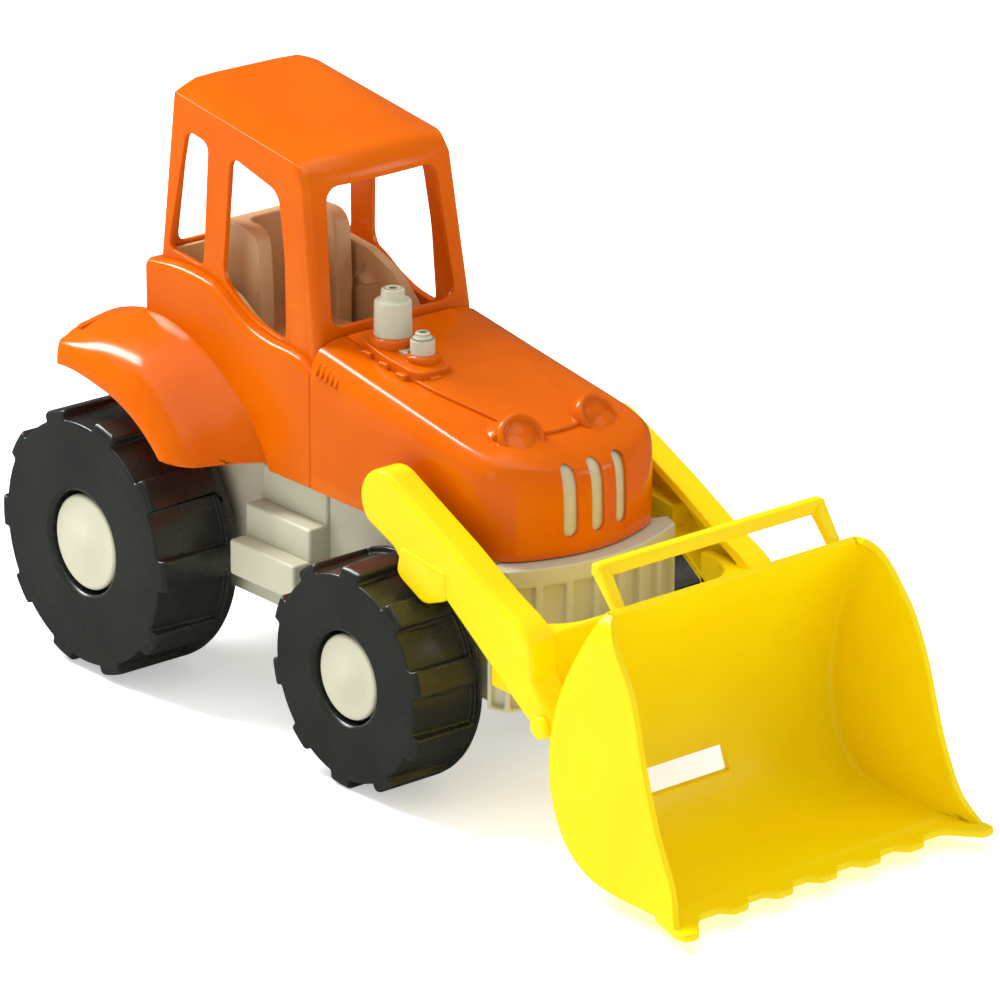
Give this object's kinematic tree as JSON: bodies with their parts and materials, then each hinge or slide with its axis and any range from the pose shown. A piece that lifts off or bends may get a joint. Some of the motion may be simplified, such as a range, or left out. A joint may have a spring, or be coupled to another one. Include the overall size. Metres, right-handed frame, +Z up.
{
  "type": "toy backhoe loader",
  "caption": "Plastic toy tractor with an open cab, chunky wheels that roll, loader arms that lift and a toothed bucket that tips on them.",
  "frame": {"origin": "on the ground under the middle of the toy's bounding box", "axes": "+Z up, -Y forwards to the bucket, +X to the driver's left"},
  "size_m": [0.1482, 0.3867, 0.2235],
  "materials": {
    "orange_plastic": "glossy moulded orange",
    "yellow_plastic": "semi-gloss moulded yellow",
    "cream_plastic": "semi-gloss moulded cream grey",
    "dark_plastic": "satin dark grey moulded tyre",
    "steel": "bright zinc-plated steel"
  },
  "bodies": {
    "tractor": {"chassis": "cream_plastic", "hood_shell": "orange_plastic", "cab_shell": "orange_plastic", "cab_interior": "cream_plastic", "exhaust_stacks": "cream_plastic", "front_axle": "steel", "rear_axle": "steel", "front_axle_nuts": "steel", "rear_axle_nuts": "steel", "arm_pivot_pins": "yellow_plastic", "body_screws": "steel"},
    "rear_wheel_left": {"rear_tyre_left": "dark_plastic", "rear_hubcap_left": "cream_plastic"},
    "rear_wheel_right": {"rear_tyre_right": "dark_plastic", "rear_hubcap_right": "cream_plastic"},
    "front_wheel_left": {"front_tyre_left": "dark_plastic", "front_hubcap_left": "cream_plastic"},
    "front_wheel_right": {"front_tyre_right": "dark_plastic", "front_hubcap_right": "cream_plastic"},
    "loader": {"loader_arms": "yellow_plastic"},
    "scoop": {"bucket": "yellow_plastic", "bucket_pins": "yellow_plastic"}
  },
  "joints": [
    {"name": "rear_wheel_left_spin", "type": "hinge", "parent": "tractor", "child": "rear_wheel_left", "pos_m": [0.0555, 0.1426, 0.05075], "axis": [1, 0, 0], "continuous": true},
    {"name": "rear_wheel_right_spin", "type": "hinge", "parent": "tractor", "child": "rear_wheel_right", "pos_m": [-0.0555, 0.1426, 0.05075], "axis": [1, 0, 0], "continuous": true},
    {"name": "front_wheel_left_spin", "type": "hinge", "parent": "tractor", "child": "front_wheel_left", "pos_m": [0.0537, -0.0074, 0.0423], "axis": [1, 0, 0], "continuous": true},
    {"name": "front_wheel_right_spin", "type": "hinge", "parent": "tractor", "child": "front_wheel_right", "pos_m": [-0.0537, -0.0074, 0.0423], "axis": [1, 0, 0], "continuous": true},
    {"name": "arm_lift", "type": "hinge", "parent": "tractor", "child": "loader", "pos_m": [0, -0.0135, 0.1075], "axis": [-1, 0, 0], "range_deg": [0, 60]},
    {"name": "bucket_tilt", "type": "hinge", "parent": "loader", "child": "scoop", "pos_m": [0, -0.102, 0.051], "axis": [1, 0, 0], "range_deg": [-35, 60]}
  ]
}
